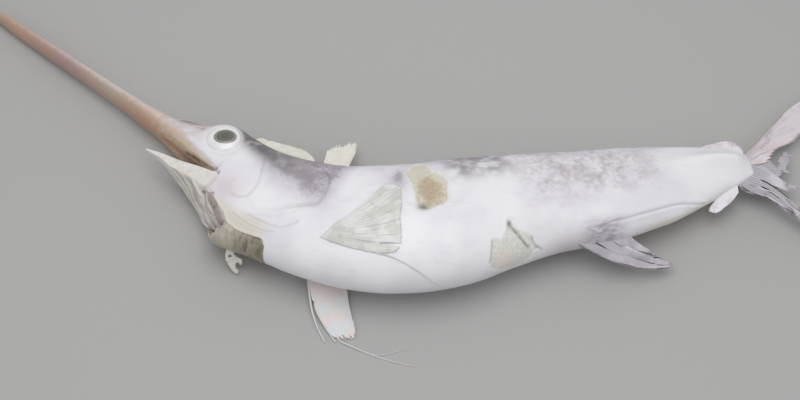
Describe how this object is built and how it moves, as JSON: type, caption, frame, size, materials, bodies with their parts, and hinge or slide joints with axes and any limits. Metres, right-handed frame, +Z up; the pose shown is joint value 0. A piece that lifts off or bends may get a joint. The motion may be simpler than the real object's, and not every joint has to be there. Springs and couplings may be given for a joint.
{
  "type": "swordfish",
  "caption": "Life-size model of a dead swordfish lying on its right flank, neck bent back, mouth agape, throat torn and fins frayed.",
  "frame": {"origin": "on the floor, on the flat of the right flank under the middle of the trunk, about 0.05 m ahead of the centre of mass", "axes": "+X towards the tail, +Y towards the fish's back, away from the viewer of the picture, +Z up out of its left side"},
  "size_m": [2.3419, 1.0826, 0.2025],
  "materials": {
    "skin": "wet bleached skin, white below and grey-lilac towards the back",
    "bill": "dull brown-pink bone under thin skin",
    "eye": "clouded, moist",
    "fin": "thin frayed web over bony rays",
    "flesh": "raw, khaki and grey-brown, moist"
  },
  "bodies": {
    "root": {"head": "skin", "torso_front": "skin", "torso_middle": "skin", "torso_rear": "skin", "tail_stock": "skin", "gill_cover_left": "skin", "gill_cover_right": "skin", "gill_fold_left": "skin", "lower_jaw": "skin", "eye_left": "eye", "eye_right": "eye", "bill": "bill", "throat": "flesh", "dorsal_fin_first": "fin", "dorsal_fin_second": "fin", "anal_fin_first": "fin", "anal_fin_second": "fin", "pectoral_fin_left": "fin", "pectoral_fin_right": "fin", "tail_fin_upper": "fin", "tail_fin_lower": "fin"}
  },
  "joints": []
}
